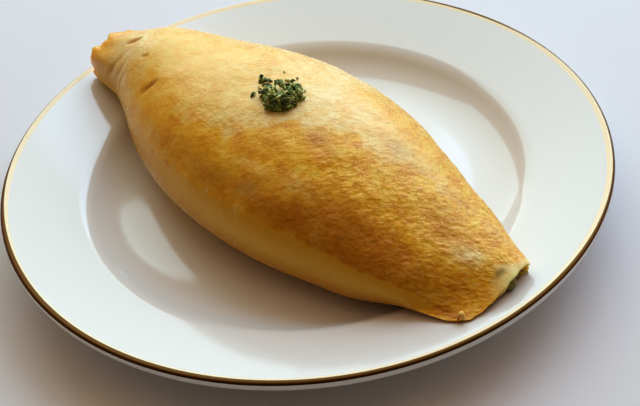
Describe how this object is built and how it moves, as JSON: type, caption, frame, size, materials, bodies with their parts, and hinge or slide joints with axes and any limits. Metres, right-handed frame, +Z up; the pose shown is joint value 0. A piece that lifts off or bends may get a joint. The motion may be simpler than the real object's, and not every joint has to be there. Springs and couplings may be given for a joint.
{
  "type": "plate of omurice",
  "caption": "Round rim plate with a gilt edge holding a whole rice omelette, gathered at its tail, open at its mouth and topped with chopped parsley.",
  "frame": {"origin": "centre of the plate's foot ring, on the surface that the plate stands on", "axes": "+X along the omelette from its gathered tail to its open mouth, +Z up"},
  "size_m": [0.2498, 0.2498, 0.0621],
  "materials": {
    "porcelain": "gloss white glaze with a gilt line on the lip",
    "egg": "finely wrinkled fried egg sheet, moist",
    "rice": "moist cooked grains stained by tomato",
    "pea": "moist cooked skin",
    "parsley": "finely chopped curly leaf"
  },
  "bodies": {
    "root": {"plate": "porcelain", "egg_wrap": "egg", "rice_filling": "rice", "green_pea": "pea", "parsley": "parsley"}
  },
  "joints": []
}
